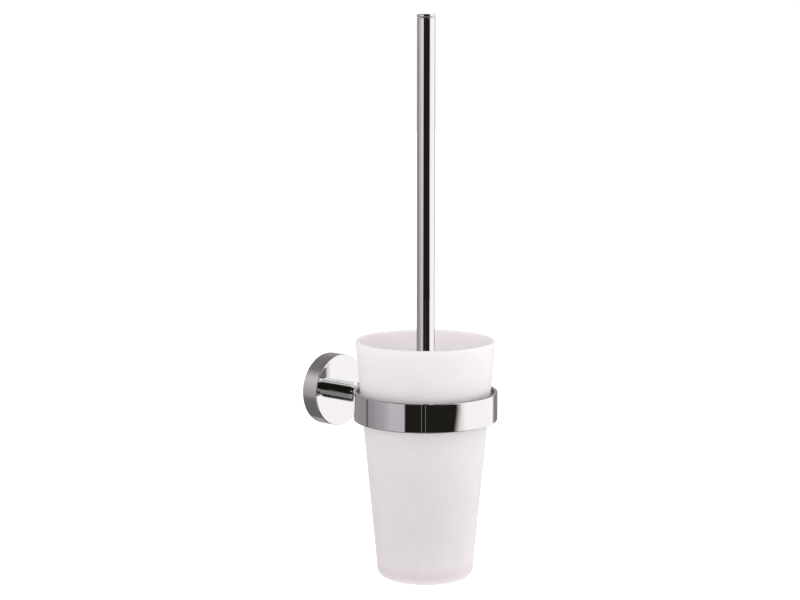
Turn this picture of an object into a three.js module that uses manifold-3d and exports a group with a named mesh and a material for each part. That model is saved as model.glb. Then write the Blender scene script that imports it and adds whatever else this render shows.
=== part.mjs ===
// A wall-mounted toilet brush holder: a round wall flange carries a short arm and a flat
// band ring, a tapered frosted tumbler sits in the ring, and a brush stands in the tumbler.
//
// Millimetres, +Z up. The wall is the plane Y = 0 and the holder stands out towards -Y.
// The origin lies on the wall, on the axis of the flange and the arm.

import * as THREE from "three";
import { mergeVertices } from "three/addons/utils/BufferGeometryUtils.js";
import Module from "manifold-3d";

// ---- Driving dimensions ----------------------------------------------------------------

// Clearances
const seatGap = 0.1; // between faces that rest on each other
const slideFit = 0.2; // radial gap of one turned piece inside another
const pressFit = 0.1; // radial gap of a plug pressed into the handle's tube
const cutGap = 0.3; // between a piece and the neighbour that it is cut to
const threadFit = 0.15; // radial gap between a screw and its tapped hole

// Placing of the main axes
const reach = 90.5; // wall to the tumbler's axis
const ringAboveBase = 116.2; // tumbler's base to the middle of the ring

// Flange on the wall
const flangeDiameter = 50;
const flangeDepth = 13;
const flangeWall = 2.5;
const flangeFace = 3;
const flangeEdge = 0.6;

// Wall bracket inside the flange
const bracketThickness = 7;
const bracketPocketDiameter = 20;
const bracketPocketDepth = 4.8;
const bracketGrooveDepth = 1.3;
const bracketReliefDepth = 0.8;
const bracketPadDiameter = 13;
const bracketRimWidth = 2.2;
const screwSpacing = 30;

// Wall screws
const wallScrewDiameter = 4;
const wallScrewHead = 8;
const wallScrewHeadDepth = 2.2;
const wallScrewLength = 18;
const wallScrewPlain = 2; // smooth shank between the head and the thread
const wallScrewThreadDepth = 0.6;
const wallScrewPitch = 1.8;
const threadCrestShare = 0.6; // where a turn's crest stands, as a share of the pitch
const wallScrewPoint = 4;
const crossDepth = 1.6;
const crossWidth = 0.8;
const crossLength = 3.6;

// Set screw that locks the flange on the bracket
const setScrewDiameter = 4;
const setScrewLength = 3.4;
const setScrewKey = 2;
const setScrewKeyDepth = 1.5;

// Arm and its screw
const armDiameter = 14;
const armLength = 15.3;
const armEdge = 1.3;
const armScrewDiameter = 6;
const armScrewInArm = 7.3;
const armScrewHead = 10;
const armScrewHeadHeight = 3.6;
const armScrewKey = 4;
const armScrewKeyDepth = 2.9;
const screwPoint = 1; // chamfer on the end of a machine screw
const springWasherDiameter = 11.6;
const springWasherThickness = 1.4;
const springWasherSplit = 1.2;

// Collar between the arm and the ring, and the screw through it
const collarDiameter = 11.4;
const ringScrewDiameter = 5;
const ringScrewInArm = 6;
const ringScrewHead = 9;
const ringScrewHeadDepth = 1.7;
const ringScrewKey = 3;
const ringScrewKeyDepth = 2.1;
const ringScrewSink = 0.4;

// Ring
const ringHeight = 19;
const ringWall = 2.5;
const ringGap = 2; // round the tumbler, at the top of the ring
const ringEdge = 0.6;
const ledgeGap = 1.1; // round the tumbler, at the top of the ledge
const ledgeThickness = 1.6;

// Plastic liner in the ring
const linerHeight = 10;
const linerEdge = 0.5;

// Tumbler
const tumblerHeight = 160;
const rimDiameter = 94;
const baseDiameter = 64;
const rimWall = 3;
const baseWall = 4;
const floorThickness = 10;
const baseCorner = 4;
const floorCorner = 5;
const rimEdge = 1.2;

// Brush head
const headLength = 92;
const coreDiameter = 14;
const coreBottom = 9;
const coreRounding = 4;
const shoulderDiameter = 26;
const shoulderHeight = 78;
const shoulderThickness = 3;
const shoulderRise = 1; // cone above and below the shoulder's rim
const shoulderLip = 1.4; // height of the shoulder's rim
const neckDiameter = 15;
const neckFillet = 2;
const neckEdge = 1;
const bristleRows = 8;
const firstRowHeight = 13.5;
const lastRowHeight = 71;
const rowThickness = 3.4;
const tuftsPerRow = 12;
const tuftRoot = 2.6;
const tuftTip = 6;
const tuftHubWall = 1;
const widestRowShare = 0.4; // how far up the rows the head is widest
const headClearance = 2.7; // from the widest bristles to the tumbler
const headTopInset = 5;
const headBottomInset = 8;
const tipDiameter = 24;
const tipRootShare = 0.8; // width of the end tuft at the core, as a share of the core
const tipFlatShare = 0.7; // flat middle of the end tuft, as a share of its width
const tipRise = 3;

// Handle
const handleDiameter = 12;
const handleLength = 267.7;
const handleWall = 1;
const capThickness = 2;
const capEdge = 0.5;
const tubeEdge = 0.2;
const capPlugLength = 12;
const capSpigotDiameter = 5;
const capSpigotHeight = 1;
const bushFlange = 2;
const bushLength = 20;
const sealThickness = 1.5;
const sealDiameter = 11.4;
const studDiameter = 6;
const studInHead = 16;
const studInHandle = 10;
const studBoreSpare = 4;

// ---- Sizes that follow from them -------------------------------------------------------

const flangeRadius = flangeDiameter / 2;
const flangeBore = flangeRadius - flangeWall;
const bracketRadius = flangeBore - 2 * slideFit;
const armRadius = armDiameter / 2;
const ringTop = ringHeight / 2;
const ringBore = tumblerOutside(ringAboveBase + ringTop) + ringGap;
const ringRadius = ringBore + ringWall;
const ledgeBore = tumblerOutside(ringAboveBase - ringTop + ledgeThickness) + ledgeGap;
const coreRadius = coreDiameter / 2;
const handleRadius = handleDiameter / 2;
const handleBore = handleRadius - handleWall;

// Places along Y on the wall side: the wall is at 0 and the pieces go out towards -Y.
const setScrewY = -bracketThickness / 2;
const washerBack = -flangeDepth + flangeFace + seatGap;
const armScrewSeat = washerBack + springWasherThickness + seatGap;
const armBack = -flangeDepth - seatGap;
const armFront = armBack - armLength;
const armScrewEnd = armBack - armScrewInArm;
const ringScrewFace = -reach + ringBore + ringScrewSink;
const ringScrewEnd = armFront + ringScrewInArm;

// Heights on the brush, above its lowest bristles.
const sealBottom = headLength + seatGap;
const handleBottom = sealBottom + sealThickness + seatGap;
const tubeBottom = handleBottom + bushFlange + seatGap;
const tubeTop = handleBottom + handleLength;
const widestHeight = firstRowHeight + (lastRowHeight - firstRowHeight) * widestRowShare;
const headRadius = tumblerInside(floorThickness + cutGap + widestHeight) - headClearance;

// Radius of the tumbler's outside and inside at a height above its base.
function tumblerOutside(height) {
  return (baseDiameter + ((rimDiameter - baseDiameter) * height) / tumblerHeight) / 2;
}
function tumblerInside(height) {
  return tumblerOutside(height) - baseWall + ((baseWall - rimWall) * height) / tumblerHeight;
}

// ---- Shape helpers ---------------------------------------------------------------------

const manifold = await Module();
manifold.setup();

const smallRound = 16; // sides of a screw
const mediumRound = 24; // sides of a bar or tube
const largeRound = 44; // sides of the flange, ring and tumbler
const overcut = 1; // how far a cutting tool runs past the face that it cuts

// Points of a circular arc about (x, y), from one angle to another in degrees.
function arc(x, y, radius, from, to, steps = 4) {
  const points = [];
  for (let i = 0; i <= steps; i++) {
    const angle = THREE.MathUtils.degToRad(from + ((to - from) * i) / steps);
    points.push([x + radius * Math.cos(angle), y + radius * Math.sin(angle)]);
  }
  return points;
}

// Signed volume of an indexed mesh: positive where its faces point outwards.
function signedVolume(positions, index) {
  const [a, b, c] = [new THREE.Vector3(), new THREE.Vector3(), new THREE.Vector3()];
  let sum = 0;
  for (let i = 0; i < index.length; i += 3) {
    a.fromBufferAttribute(positions, index[i]);
    b.fromBufferAttribute(positions, index[i + 1]);
    c.fromBufferAttribute(positions, index[i + 2]);
    sum += a.dot(b.cross(c));
  }
  return sum / 6;
}

// The same shape as one closed mesh: shared vertices merged, triangles of no area dropped,
// faces turned to point outwards.
function closed(geometry) {
  geometry.deleteAttribute("normal");
  geometry.deleteAttribute("uv");
  const merged = mergeVertices(geometry, 1e-4);
  const index = [];
  for (let i = 0; i < merged.index.count; i += 3) {
    const [a, b, c] = [0, 1, 2].map((k) => merged.index.getX(i + k));
    if (a !== b && b !== c && c !== a) index.push(a, b, c);
  }
  const inward = signedVolume(merged.attributes.position, index) < 0;
  merged.setIndex(inward ? index.reverse() : index);
  return merged;
}

// A profile of [radius, height] points turned about the Y axis. It starts and ends on the
// axis, or is a loop round a hole, which this closes.
function turned(profile, sides) {
  const [first, last] = [profile[0], profile[profile.length - 1]];
  const loop = first[0] > 0 || last[0] > 0 ? [...profile, first] : profile;
  const points = loop.map(([radius, height]) => new THREE.Vector2(Math.max(radius, 0), height));
  return closed(new THREE.LatheGeometry(points, sides));
}

// The same, turned about the Z axis.
function upright(profile, sides) {
  return turned(profile, sides).rotateX(Math.PI / 2);
}

// A prism of a regular outline, standing on the XY plane.
function prism(sides, radius, height) {
  const outline = new THREE.Shape();
  for (let i = 0; i < sides; i++) {
    const angle = (2 * Math.PI * i) / sides;
    const point = [radius * Math.cos(angle), radius * Math.sin(angle)];
    if (i === 0) outline.moveTo(...point);
    else outline.lineTo(...point);
  }
  outline.closePath();
  return closed(new THREE.ExtrudeGeometry(outline, { depth: height, bevelEnabled: false }));
}

// A hexagon key socket of a given width across its flats, along +Z from z = 0.
function keySocket(acrossFlats, depth) {
  return prism(6, acrossFlats / Math.sqrt(3), depth);
}

function box(width, depth, height) {
  return closed(new THREE.BoxGeometry(width, depth, height));
}

function toSolid(geometry) {
  return new manifold.Manifold(
    new manifold.Mesh({
      numProp: 3,
      vertProperties: geometry.attributes.position.array,
      triVerts: new Uint32Array(geometry.index.array),
    }),
  );
}

function toGeometry(solid) {
  const mesh = solid.getMesh();
  const geometry = new THREE.BufferGeometry();
  geometry.setAttribute("position", new THREE.BufferAttribute(mesh.vertProperties, mesh.numProp));
  geometry.setIndex(new THREE.BufferAttribute(mesh.triVerts, 1));
  return geometry;
}

function cut(geometry, ...tools) {
  let solid = toSolid(geometry);
  for (const tool of tools) solid = solid.subtract(toSolid(tool));
  return toGeometry(solid);
}

// ---- Finishes --------------------------------------------------------------------------

function finish(color, roughness, metalness) {
  return new THREE.MeshStandardMaterial({ color, roughness, metalness });
}

const chrome = finish("#d9dade", 0.06, 1);
const zinc = finish("#a9abad", 0.45, 1);
const stainlessSteel = finish("#b9bbbc", 0.3, 1);
const brass = finish("#c3a35a", 0.35, 1);
const frostedGlass = finish("#e9e6e7", 0.6, 0);
const clearPlastic = finish("#e4e6e6", 0.35, 0);
const whitePlastic = finish("#f1f1ef", 0.4, 0);
const bristleNylon = finish("#f4f4f2", 0.6, 0);
const siliconeRubber = finish("#c9cbcc", 0.6, 0);

function piece(name, geometry, material, position = [0, 0, 0]) {
  const shaded = geometry.toNonIndexed();
  shaded.computeVertexNormals();
  const mesh = new THREE.Mesh(shaded, material.clone());
  mesh.name = name;
  mesh.position.set(...position);
  return mesh;
}

function group(...children) {
  const made = new THREE.Group();
  made.add(...children);
  return made;
}

// ---- Wall side: everything here is turned about the Y axis -----------------------------

// Two-screw disc: it stands on the wall with its rim and a middle pad, and the set screw
// of the flange grips in the groove round its edge.
function wallBracket() {
  const back = -bracketReliefDepth;
  const front = -bracketThickness;
  const pocketFloor = front + bracketPocketDepth;
  const groove = bracketRadius - bracketGrooveDepth;
  const disc = turned(
    [
      [0, 0],
      [bracketPadDiameter / 2, 0],
      [bracketPadDiameter / 2, back],
      [bracketRadius - bracketRimWidth, back],
      [bracketRadius - bracketRimWidth, 0],
      [bracketRadius, 0],
      [bracketRadius, setScrewY + bracketGrooveDepth],
      [groove, setScrewY],
      [bracketRadius, setScrewY - bracketGrooveDepth],
      [bracketRadius, front],
      [bracketPocketDiameter / 2, front],
      [bracketPocketDiameter / 2, pocketFloor],
      [0, pocketFloor],
    ],
    largeRound,
  );
  const holes = [1, -1].map((side) => screwClearance().translate(0, 0, (side * screwSpacing) / 2));
  return cut(disc, ...holes);
}

// Countersunk hole for a wall screw, a little larger than the screw all over.
function screwClearance() {
  const front = -bracketThickness;
  const shank = wallScrewDiameter / 2 + cutGap;
  const head = wallScrewHead / 2 + cutGap;
  return turned(
    [
      [0, overcut],
      [shank, overcut],
      [shank, front + wallScrewHeadDepth + cutGap],
      [head, front + cutGap],
      [head, front - overcut],
      [0, front - overcut],
    ],
    smallRound,
  );
}

// Countersunk wood screw with a cross recess, its head flush with the bracket's front.
function wallScrew() {
  const front = -bracketThickness + seatGap;
  const tip = front + wallScrewLength;
  const crest = wallScrewDiameter / 2;
  const core = crest - wallScrewThreadDepth;
  const threadStart = front + wallScrewHeadDepth + wallScrewPlain;
  const turns = Math.floor((tip - wallScrewPoint - threadStart) / wallScrewPitch);
  const thread = [];
  for (let i = 0; i < turns; i++) {
    const crestAt = threadStart + (i + threadCrestShare) * wallScrewPitch;
    thread.push([crest, crestAt], [core, threadStart + (i + 1) * wallScrewPitch]);
  }
  const body = turned(
    [
      [0, front],
      [wallScrewHead / 2, front],
      [core, front + wallScrewHeadDepth],
      [core, threadStart],
      ...thread,
      [0, tip],
    ],
    smallRound / 2,
  );
  const blades = [0, Math.PI / 2].map((angle) =>
    box(crossWidth, 2 * crossDepth, crossLength).rotateY(angle).translate(0, front, 0),
  );
  return cut(body, ...blades);
}

// Cup-shaped flange that hides the bracket. The arm is screwed to its face from inside.
function flangeCover() {
  const front = -flangeDepth;
  const cup = turned(
    [
      [armScrewDiameter / 2 + slideFit, front],
      [flangeRadius - flangeEdge, front],
      ...arc(flangeRadius - flangeEdge, front + flangeEdge, flangeEdge, -90, 0, 2).slice(1),
      [flangeRadius, 0],
      [flangeBore, 0],
      [flangeBore, front + flangeFace],
      [armScrewDiameter / 2 + slideFit, front + flangeFace],
    ],
    largeRound,
  );
  const tapped = setScrewDiameter / 2 + threadFit;
  const hole = prism(smallRound, tapped, flangeWall + 2 * overcut);
  return cut(cup, hole.translate(0, setScrewY, -flangeRadius - overcut));
}

// Cone-point set screw, standing in the bottom of the flange.
function setScrew() {
  const point = -(bracketRadius - bracketGrooveDepth) - cutGap;
  const tail = point - setScrewLength;
  const radius = setScrewDiameter / 2;
  const body = upright(
    [
      [0, point],
      [radius, point - radius],
      [radius, tail],
      [0, tail],
    ],
    smallRound,
  );
  const socket = keySocket(setScrewKey, setScrewKeyDepth + overcut).translate(0, 0, tail - overcut);
  return cut(body, socket);
}

// Socket-head screw that holds the arm: its head and spring washer lie inside the flange.
function armScrew() {
  const top = armScrewSeat + armScrewHeadHeight;
  const body = turned(
    [
      [0, top],
      [armScrewHead / 2, top],
      [armScrewHead / 2, armScrewSeat],
      [armScrewDiameter / 2, armScrewSeat],
      [armScrewDiameter / 2, armScrewEnd + screwPoint],
      [armScrewDiameter / 2 - screwPoint, armScrewEnd],
      [0, armScrewEnd],
    ],
    smallRound,
  );
  const socket = keySocket(armScrewKey, armScrewKeyDepth + overcut).rotateX(Math.PI / 2);
  return cut(body, socket.translate(0, top + overcut, 0));
}

function springWasher() {
  const bore = armScrewDiameter / 2 + slideFit;
  const ring = turned(
    [
      [bore, washerBack],
      [springWasherDiameter / 2, washerBack],
      [springWasherDiameter / 2, washerBack + springWasherThickness],
      [bore, washerBack + springWasherThickness],
    ],
    smallRound,
  );
  const split = box(springWasherSplit, 4 * springWasherThickness, springWasherDiameter);
  return cut(ring, split.translate(0, washerBack, springWasherDiameter / 2));
}

// Round bar between the flange and the collar, tapped at both ends.
function arm() {
  const tapAtWall = armScrewDiameter / 2 + threadFit;
  const tapAtRing = ringScrewDiameter / 2 + threadFit;
  const wallTapEnd = armScrewEnd - cutGap;
  return turned(
    [
      [tapAtWall, armBack],
      [armRadius, armBack],
      [armRadius, armFront + armEdge],
      [armRadius - armEdge, armFront],
      [tapAtRing, armFront],
      [tapAtRing, wallTapEnd],
      [tapAtWall, wallTapEnd],
    ],
    mediumRound,
  );
}

// Spacer whose far end is hollowed to sit on the round outside of the ring.
function ringCollar() {
  const near = armFront - seatGap;
  const far = -reach + ringRadius - ringWall;
  const bore = ringScrewDiameter / 2 + slideFit;
  const tube = turned(
    [
      [bore, near],
      [collarDiameter / 2, near],
      [collarDiameter / 2, far],
      [bore, far],
    ],
    mediumRound,
  );
  const ringBody = prism(4 * largeRound, ringRadius + cutGap, 2 * ringHeight);
  return cut(tube, ringBody.translate(0, -reach, -ringHeight));
}

// Countersunk screw from inside the ring, through the collar and into the arm.
function ringScrew() {
  const radius = ringScrewDiameter / 2;
  const body = turned(
    [
      [0, ringScrewFace],
      [ringScrewHead / 2, ringScrewFace],
      [radius, ringScrewFace + ringScrewHeadDepth],
      [radius, ringScrewEnd - screwPoint],
      [radius - screwPoint, ringScrewEnd],
      [0, ringScrewEnd],
    ],
    smallRound,
  );
  const socket = keySocket(ringScrewKey, ringScrewKeyDepth + overcut).rotateX(-Math.PI / 2);
  return cut(body, socket.translate(0, ringScrewFace - overcut, 0));
}

// ---- Ring: turned about the tumbler's axis, z = 0 at the middle of its height -----------

function ringBand() {
  const ledgeTop = -ringTop + ledgeThickness;
  const outer = ringRadius - ringEdge;
  const band = upright(
    [
      [ledgeBore, -ringTop],
      ...arc(outer, -ringTop + ringEdge, ringEdge, -90, 0, 2),
      ...arc(outer, ringTop - ringEdge, ringEdge, 0, 90, 2),
      ...arc(ringBore + ringEdge, ringTop - ringEdge, ringEdge, 90, 180, 2),
      [ringBore, ledgeTop],
      [ledgeBore, ledgeTop],
    ],
    largeRound,
  );
  return cut(band, ringScrewClearance());
}

// Countersunk hole in the ring's wall side.
function ringScrewClearance() {
  const face = ringBore + ringScrewSink - cutGap;
  const shank = ringScrewDiameter / 2 + slideFit;
  const head = ringScrewHead / 2 + cutGap;
  return turned(
    [
      [0, face - ringWall],
      [head, face - ringWall],
      [head, face + cutGap],
      [shank, face + cutGap + ringScrewHeadDepth],
      [shank, ringRadius + ringWall],
      [0, ringRadius + ringWall],
    ],
    smallRound,
  );
}

// Plastic liner: it stands on the ring's ledge, and its cone carries the tumbler.
function ringLiner() {
  const bottom = -ringTop + ledgeThickness + seatGap;
  const top = bottom + linerHeight;
  const outer = ringBore - slideFit;
  const innerAt = (height) => tumblerOutside(ringAboveBase + height) + cutGap;
  return upright(
    [
      [innerAt(bottom), bottom],
      [outer, bottom],
      [outer, top - linerEdge],
      [outer - linerEdge, top],
      [innerAt(top), top],
    ],
    largeRound,
  );
}

// ---- Tumbler: turned about its own axis, standing on z = 0 -----------------------------

function tumbler() {
  const outer = tumblerOutside(baseCorner) - baseCorner;
  const inner = tumblerInside(floorThickness + floorCorner) - floorCorner;
  const rimOut = tumblerOutside(tumblerHeight - rimEdge) - rimEdge;
  const rimIn = tumblerInside(tumblerHeight - rimEdge) + rimEdge;
  const profile = [
    [0, 0],
    ...arc(outer, baseCorner, baseCorner, -90, 0, 4),
    ...arc(rimOut, tumblerHeight - rimEdge, rimEdge, 0, 90, 2),
    ...arc(rimIn, tumblerHeight - rimEdge, rimEdge, 90, 180, 2),
    ...arc(inner, floorThickness + floorCorner, floorCorner, 0, -90, 3),
    [0, floorThickness],
  ];
  return upright(profile, largeRound);
}

// ---- Brush: turned about its own axis, the lowest bristles at z = 0 ---------------------

// Radius of the bristles at a height: full in the middle, smaller at both ends.
function bristleRadius(height) {
  const above = height > widestHeight;
  const end = above ? lastRowHeight : firstRowHeight;
  const inset = above ? headTopInset : headBottomInset;
  const share = (height - widestHeight) / (end - widestHeight);
  return headRadius - inset * share * share;
}

// One row of tufts, each wider at its tip, joined round the core.
function bristleRow(row) {
  const height = rowHeight(row);
  const outer = bristleRadius(height);
  const hub = coreRadius + slideFit + tuftHubWall;
  const shift = (row % 2) * 0.5;
  const outline = new THREE.Shape();
  const points = [];
  for (let i = 0; i < tuftsPerRow; i++) {
    const middle = (2 * Math.PI * (i + shift)) / tuftsPerRow;
    const across = (radius, width) => [
      new THREE.Vector2(radius, -width / 2).rotateAround(new THREE.Vector2(), middle),
      new THREE.Vector2(radius, width / 2).rotateAround(new THREE.Vector2(), middle),
    ];
    const [rootFirst, rootLast] = across(hub, tuftRoot);
    const [tipFirst, tipLast] = across(outer, tuftTip);
    points.push(rootFirst, tipFirst, tipLast, rootLast);
  }
  outline.setFromPoints(points);
  const bore = new THREE.Path();
  bore.absarc(0, 0, coreRadius + slideFit, 0, 2 * Math.PI, true);
  outline.holes.push(bore);
  const options = { depth: rowThickness, bevelEnabled: false, curveSegments: mediumRound / 2 };
  return closed(new THREE.ExtrudeGeometry(outline, options)).translate(0, 0, height - rowThickness / 2);
}

function rowHeight(row) {
  return firstRowHeight + ((lastRowHeight - firstRowHeight) * row) / (bristleRows - 1);
}

// End tuft under the core.
function bristleTip() {
  const top = coreBottom - seatGap;
  const radius = tipDiameter / 2;
  return upright(
    [
      [0, 0],
      [radius * tipFlatShare, 0],
      [radius, tipRise],
      [coreRadius * tipRootShare, top],
      [0, top],
    ],
    smallRound,
  );
}

// Moulded core with a drip shoulder and a neck that takes the stud.
function brushCore() {
  const neck = neckDiameter / 2;
  const bore = studDiameter / 2 + threadFit;
  const shoulder = shoulderDiameter / 2;
  const shoulderTop = shoulderHeight + shoulderThickness;
  return upright(
    [
      [0, coreBottom],
      ...arc(coreRadius - coreRounding, coreBottom + coreRounding, coreRounding, -90, 0, 3),
      [coreRadius, shoulderHeight - shoulderRise],
      [shoulder, shoulderHeight],
      [shoulder, shoulderHeight + shoulderLip],
      [neck + neckFillet, shoulderTop + shoulderRise],
      [neck, shoulderTop + shoulderRise + neckFillet],
      [neck, headLength - neckEdge],
      [neck - neckEdge, headLength],
      [bore, headLength],
      [bore, headLength - studInHead - seatGap],
      [0, headLength - studInHead - seatGap],
    ],
    mediumRound,
  );
}

// Threaded stud, moulded into the neck.
function brushStud() {
  const radius = studDiameter / 2;
  const top = headLength + sealThickness + 2 * seatGap + studInHandle;
  return upright(
    [
      [0, headLength - studInHead],
      [radius, headLength - studInHead],
      [radius, top - screwPoint],
      [radius - screwPoint, top],
      [0, top],
    ],
    smallRound,
  );
}

function sealWasher() {
  const bore = studDiameter / 2 + cutGap;
  return upright(
    [
      [bore, sealBottom],
      [sealDiameter / 2, sealBottom],
      [sealDiameter / 2, sealBottom + sealThickness],
      [bore, sealBottom + sealThickness],
    ],
    smallRound,
  );
}

// Threaded bush pressed into the bottom of the tube, with a flange that closes it.
function handleBush() {
  const bore = studDiameter / 2 + threadFit;
  const plug = handleBore - pressFit;
  const boreTop = handleBottom + studInHandle + studBoreSpare;
  return upright(
    [
      [bore, handleBottom],
      [handleRadius - capEdge, handleBottom],
      [handleRadius, handleBottom + capEdge],
      [handleRadius, handleBottom + bushFlange],
      [plug, handleBottom + bushFlange],
      [plug, handleBottom + bushLength],
      [0, handleBottom + bushLength],
      [0, boreTop],
      [bore, boreTop],
    ],
    mediumRound,
  );
}

function handleTube() {
  return upright(
    [
      [handleBore, tubeBottom],
      [handleRadius, tubeBottom],
      [handleRadius, tubeTop - tubeEdge],
      [handleRadius - tubeEdge, tubeTop],
      [handleBore, tubeTop],
    ],
    mediumRound,
  );
}

// Nylon plug inside the tube's top, and the turned end cap that is pressed on to it.
function capPlug() {
  const plug = handleBore - pressFit;
  const spigot = capSpigotDiameter / 2;
  return upright(
    [
      [0, tubeTop - capPlugLength],
      [plug, tubeTop - capPlugLength],
      [plug, tubeTop],
      [spigot, tubeTop],
      [spigot, tubeTop + capSpigotHeight],
      [0, tubeTop + capSpigotHeight],
    ],
    mediumRound,
  );
}

function endCap() {
  const bottom = tubeTop + cutGap;
  const top = bottom + capThickness;
  const bore = capSpigotDiameter / 2 + slideFit;
  const boreTop = tubeTop + capSpigotHeight + cutGap;
  return upright(
    [
      [bore, bottom],
      [handleRadius - tubeEdge, bottom],
      [handleRadius, bottom + tubeEdge],
      [handleRadius, top - capEdge],
      [handleRadius - capEdge, top],
      [0, top],
      [0, boreTop],
      [bore, boreTop],
    ],
    mediumRound,
  );
}

// ---- The assembly ----------------------------------------------------------------------

function wallSide() {
  const upper = [0, 0, screwSpacing / 2];
  const lower = [0, 0, -screwSpacing / 2];
  return group(
    piece("wall_screw_upper", wallScrew(), stainlessSteel, upper),
    piece("wall_screw_lower", wallScrew(), stainlessSteel, lower),
    piece("wall_bracket", wallBracket(), zinc),
    piece("flange_cover", flangeCover(), chrome),
    piece("flange_set_screw", setScrew(), stainlessSteel, [0, setScrewY, 0]),
    piece("arm_screw", armScrew(), stainlessSteel),
    piece("arm_spring_washer", springWasher(), stainlessSteel),
    piece("arm", arm(), chrome),
    piece("ring_collar", ringCollar(), chrome),
    piece("ring_screw", ringScrew(), stainlessSteel),
  );
}

function ring() {
  const made = group(
    piece("ring_band", ringBand(), chrome),
    piece("ring_liner", ringLiner(), clearPlastic),
  );
  made.position.set(0, -reach, 0);
  return made;
}

function brush() {
  const made = group(
    piece("bristle_tip", bristleTip(), bristleNylon),
    piece("brush_core", brushCore(), whitePlastic),
    piece("brush_stud", brushStud(), stainlessSteel),
    piece("seal_washer", sealWasher(), siliconeRubber),
    piece("handle_bush", handleBush(), brass),
    piece("handle_tube", handleTube(), chrome),
    piece("handle_cap_plug", capPlug(), whitePlastic),
    piece("handle_end_cap", endCap(), chrome),
  );
  for (let row = 0; row < bristleRows; row++) {
    made.add(piece(`bristle_row_${row + 1}`, bristleRow(row), bristleNylon));
  }
  made.position.set(0, 0, floorThickness + cutGap);
  return made;
}

function tumblerWithBrush() {
  const made = group(piece("glass_tumbler", tumbler(), frostedGlass), brush());
  made.position.set(0, -reach, -ringAboveBase);
  return made;
}

export default group(wallSide(), ring(), tumblerWithBrush());
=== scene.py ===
"""A wall-mounted toilet brush holder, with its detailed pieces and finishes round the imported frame."""

import math
import random

import bmesh
import bpy
from bpy.props import FloatProperty, FloatVectorProperty, IntProperty, PointerProperty
from mathutils import Matrix, Vector


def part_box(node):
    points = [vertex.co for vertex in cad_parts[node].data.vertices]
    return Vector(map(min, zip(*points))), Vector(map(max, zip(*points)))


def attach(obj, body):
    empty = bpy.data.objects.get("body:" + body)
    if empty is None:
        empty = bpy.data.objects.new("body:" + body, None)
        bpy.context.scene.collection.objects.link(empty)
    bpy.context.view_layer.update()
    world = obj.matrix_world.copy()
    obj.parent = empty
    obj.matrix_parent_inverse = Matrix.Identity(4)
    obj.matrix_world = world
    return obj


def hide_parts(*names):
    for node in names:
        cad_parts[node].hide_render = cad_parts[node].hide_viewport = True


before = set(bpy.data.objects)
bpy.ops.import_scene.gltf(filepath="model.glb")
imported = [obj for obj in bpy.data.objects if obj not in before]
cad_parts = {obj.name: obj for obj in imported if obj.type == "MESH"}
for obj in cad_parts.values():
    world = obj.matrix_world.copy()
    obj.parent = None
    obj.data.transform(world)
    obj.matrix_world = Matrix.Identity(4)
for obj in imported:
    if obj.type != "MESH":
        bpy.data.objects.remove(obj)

bl_info = {
    "name": "Toilet Brush Holder",
    "version": (1, 0, 0),
    "blender": (4, 5, 0),
    "location": "View3D > Sidebar > Brush Holder",
    "description": "Builds a chrome and frosted glass toilet brush holder piece by piece",
    "category": "Object",
}

MM = 0.001

# Where the main axes are, in the frame's own metres. The wall is the plane y = 0, and the object
# stands on its side of lower y.
TUMBLER_LOW, TUMBLER_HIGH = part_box("glass_tumbler")
AXIS_Y = (TUMBLER_LOW.y + TUMBLER_HIGH.y) / 2
TUMBLER_AXIS = Vector((0, AXIS_Y, 0))
WALL_AXIS = Vector((0, 0, 0))
UP = Vector((0, 0, 1))
TO_WALL = Vector((0, 1, 0))

# The ring screw's countersunk head, and the hole for its shank through the ring and the collar.
RING_SCREW_HEAD = 1.7 * MM
RING_SCREW_HOLE = 2.7 * MM


def round_size(node, along="z"):
    """Half the width of a round CAD node, and where it starts and ends along an axis."""
    low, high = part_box(node)
    return (high.x - low.x) / 2, getattr(low, along), getattr(high, along)


def box_radius(node):
    return round_size(node)[0]


def middle_of(node, along):
    _, low, high = round_size(node, along)
    return (low + high) / 2


def widest(node):
    """Distance from the tumbler's axis to the farthest point of a CAD node."""
    return max(math.hypot(v.co.x, v.co.y - AXIS_Y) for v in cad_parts[node].data.vertices)


def linear(text):
    """The linear colour, with full alpha, of an sRGB hex value."""
    channels = [int(text[i:i + 2], 16) / 255 for i in (1, 3, 5)]
    return [c / 12.92 if c <= 0.04045 else ((c + 0.055) / 1.055) ** 2.4 for c in channels] + [1]


# ---- Settings --------------------------------------------------------------------------


def length(name, description, default):
    return FloatProperty(name=name, description=description, default=default * MM, unit="LENGTH")


def degrees(name, description, default):
    return FloatProperty(
        name=name, description=description, default=math.radians(default), subtype="ANGLE"
    )


def colour(name, description, text):
    return FloatVectorProperty(
        name=name, description=description, default=linear(text), size=4, subtype="COLOR", min=0, max=1
    )


class WallSideSizes(bpy.types.PropertyGroup):
    flange_wall: length("Flange wall", "Thickness of the flange's rim", 2.5)
    flange_face: length("Flange face", "Thickness of the flange's face", 3)
    flange_edge: length("Flange edge", "Rounding of the flange's front edge", 0.6)
    arm_edge: length("Arm chamfer", "Chamfer on the arm's end", 1.3)
    cut_gap: length("Cut gap", "Gap between a piece and the neighbour that it is cut to", 0.3)
    groove_depth: length("Groove depth", "Depth of the V groove round the bracket", 1.3)
    pocket_diameter: length("Pocket diameter", "Pocket in the bracket's front", 20)
    pocket_depth: length("Pocket depth", "Depth of the pocket in the bracket's front", 4.8)
    relief_depth: length("Relief depth", "Recess in the bracket's back", 0.8)
    pad_diameter: length("Pad diameter", "Middle pad on the bracket's back", 13)
    rim_width: length("Rim width", "Width of the rim on the bracket's back", 2.2)
    screw_head_depth: length("Wall screw head", "Height of the countersunk head", 2.2)
    screw_pitch: length("Wall screw pitch", "Distance between the turns of the thread", 1.8)


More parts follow.
